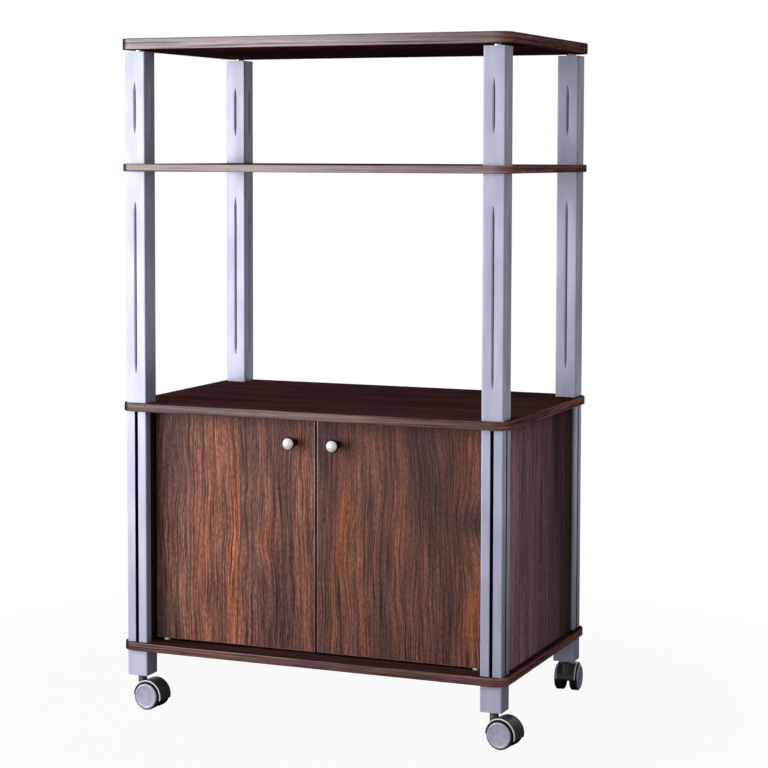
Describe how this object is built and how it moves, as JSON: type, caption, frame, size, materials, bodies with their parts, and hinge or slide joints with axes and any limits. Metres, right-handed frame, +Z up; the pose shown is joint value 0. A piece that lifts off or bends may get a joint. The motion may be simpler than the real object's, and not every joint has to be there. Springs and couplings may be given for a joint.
{
  "type": "kitchen cart",
  "caption": "Rolling kitchen cart: open shelves on square silver posts above a walnut cabinet with hinged doors, on swivelling casters.",
  "frame": {"origin": "on the floor, under the middle of the boards", "axes": "+Z up, +X to the right as seen from the doors, +Y to the back"},
  "size_m": [0.6324, 0.3923, 0.984],
  "materials": {
    "walnut_board": "dark walnut laminate, satin",
    "walnut_panel": "walnut laminate, satin",
    "walnut_door": "walnut laminate with upright grain, satin",
    "back_board": "thin printed fibreboard",
    "silver_tube": "satin silver paint",
    "grooved_post": "satin anodised",
    "black_plastic": "moulded",
    "plated_steel": "zinc plated",
    "bright_collar": "bright plated",
    "knob_metal": "satin nickel",
    "caster_hood": "moulded, fine sheen",
    "wheel_tread": "hard black nylon",
    "wheel_cap": "silver-grey lacquer"
  },
  "bodies": {
    "cart_frame": {"top_board": "walnut_board", "middle_shelf": "walnut_board", "cabinet_top": "walnut_board", "cabinet_floor": "walnut_board", "left_side_panel": "walnut_panel", "right_side_panel": "walnut_panel", "back_panel": "back_board", "upper_post_front_left": "silver_tube", "upper_post_front_right": "silver_tube", "upper_post_back_left": "silver_tube", "upper_post_back_right": "silver_tube", "middle_post_front_left": "silver_tube", "middle_post_front_right": "silver_tube", "middle_post_back_left": "silver_tube", "middle_post_back_right": "silver_tube", "cabinet_post_front_left": "grooved_post", "cabinet_post_front_right": "grooved_post", "cabinet_post_back_left": "grooved_post", "cabinet_post_back_right": "grooved_post", "foot_tubes": "silver_tube", "tube_end_plugs": "black_plastic", "caster_sockets": "black_plastic", "connecting_studs": "plated_steel", "top_insert_nuts": "bright_collar", "caster_stems": "plated_steel", "magnetic_catches": "black_plastic"},
    "left_door_leaf": {"left_door": "walnut_door", "left_door_pins": "plated_steel", "left_knob": "knob_metal", "left_knob_screw": "plated_steel", "left_strike_plate": "plated_steel"},
    "right_door_leaf": {"right_door": "walnut_door", "right_door_pins": "plated_steel", "right_knob": "knob_metal", "right_knob_screw": "plated_steel", "right_strike_plate": "plated_steel"},
    "front_left_caster": {"front_left_caster_hood": "caster_hood", "front_left_caster_axle": "plated_steel"},
    "front_left_roller_a": {"front_left_caster_wheel_a": "wheel_tread", "front_left_caster_cap_a": "wheel_cap"},
    "front_left_roller_b": {"front_left_caster_wheel_b": "wheel_tread", "front_left_caster_cap_b": "wheel_cap"},
    "front_right_caster": {"front_right_caster_hood": "caster_hood", "front_right_caster_axle": "plated_steel"},
    "front_right_roller_a": {"front_right_caster_wheel_a": "wheel_tread", "front_right_caster_cap_a": "wheel_cap"},
    "front_right_roller_b": {"front_right_caster_wheel_b": "wheel_tread", "front_right_caster_cap_b": "wheel_cap"},
    "back_left_caster": {"back_left_caster_hood": "caster_hood", "back_left_caster_axle": "plated_steel"},
    "back_left_roller_a": {"back_left_caster_wheel_a": "wheel_tread", "back_left_caster_cap_a": "wheel_cap"},
    "back_left_roller_b": {"back_left_caster_wheel_b": "wheel_tread", "back_left_caster_cap_b": "wheel_cap"},
    "back_right_caster": {"back_right_caster_hood": "caster_hood", "back_right_caster_axle": "plated_steel"},
    "back_right_roller_a": {"back_right_caster_wheel_a": "wheel_tread", "back_right_caster_cap_a": "wheel_cap"},
    "back_right_roller_b": {"back_right_caster_wheel_b": "wheel_tread", "back_right_caster_cap_b": "wheel_cap"}
  },
  "joints": [
    {"name": "left_door_hinge", "type": "hinge", "parent": "cart_frame", "child": "left_door_leaf", "pos_m": [-0.243, -0.147, 0.1], "axis": [0, 0, -1], "range_deg": [0, 100]},
    {"name": "right_door_hinge", "type": "hinge", "parent": "cart_frame", "child": "right_door_leaf", "pos_m": [0.243, -0.147, 0.1], "axis": [0, 0, 1], "range_deg": [0, 100]},
    {"name": "front_left_swivel", "type": "hinge", "parent": "cart_frame", "child": "front_left_caster", "pos_m": [-0.276, -0.164, 0.05], "axis": [0, 0, 1], "continuous": true},
    {"name": "front_left_wheel_a_spin", "type": "hinge", "parent": "front_left_caster", "child": "front_left_roller_a", "pos_m": [-0.26081, -0.17609, 0.02], "axis": [0.0698, 0.9976, 0], "continuous": true},
    {"name": "front_left_wheel_b_spin", "type": "hinge", "parent": "front_left_caster", "child": "front_left_roller_b", "pos_m": [-0.25927, -0.15414, 0.02], "axis": [0.0698, 0.9976, 0], "continuous": true},
    {"name": "front_right_swivel", "type": "hinge", "parent": "cart_frame", "child": "front_right_caster", "pos_m": [0.276, -0.164, 0.05], "axis": [0, 0, 1], "continuous": true},
    {"name": "front_right_wheel_a_spin", "type": "hinge", "parent": "front_right_caster", "child": "front_right_roller_a", "pos_m": [0.29031, -0.17712, 0.02], "axis": [0.1392, 0.9903, 0], "continuous": true},
    {"name": "front_right_wheel_b_spin", "type": "hinge", "parent": "front_right_caster", "child": "front_right_roller_b", "pos_m": [0.29337, -0.15533, 0.02], "axis": [0.1392, 0.9903, 0], "continuous": true},
    {"name": "back_left_swivel", "type": "hinge", "parent": "cart_frame", "child": "back_left_caster", "pos_m": [-0.276, 0.164, 0.05], "axis": [0, 0, 1], "continuous": true},
    {"name": "back_left_wheel_a_spin", "type": "hinge", "parent": "back_left_caster", "child": "back_left_roller_a", "pos_m": [-0.292, 0.175, 0.02], "axis": [0, -1, 0], "continuous": true},
    {"name": "back_left_wheel_b_spin", "type": "hinge", "parent": "back_left_caster", "child": "back_left_roller_b", "pos_m": [-0.292, 0.153, 0.02], "axis": [0, -1, 0], "continuous": true},
    {"name": "back_right_swivel", "type": "hinge", "parent": "cart_frame", "child": "back_right_caster", "pos_m": [0.276, 0.164, 0.05], "axis": [0, 0, 1], "continuous": true},
    {"name": "back_right_wheel_a_spin", "type": "hinge", "parent": "back_right_caster", "child": "back_right_roller_a", "pos_m": [0.28586, 0.18073, 0.02], "axis": [-0.9976, -0.0698, 0], "continuous": true},
    {"name": "back_right_wheel_b_spin", "type": "hinge", "parent": "back_right_caster", "child": "back_right_roller_b", "pos_m": [0.26391, 0.17919, 0.02], "axis": [-0.9976, -0.0698, 0], "continuous": true}
  ]
}
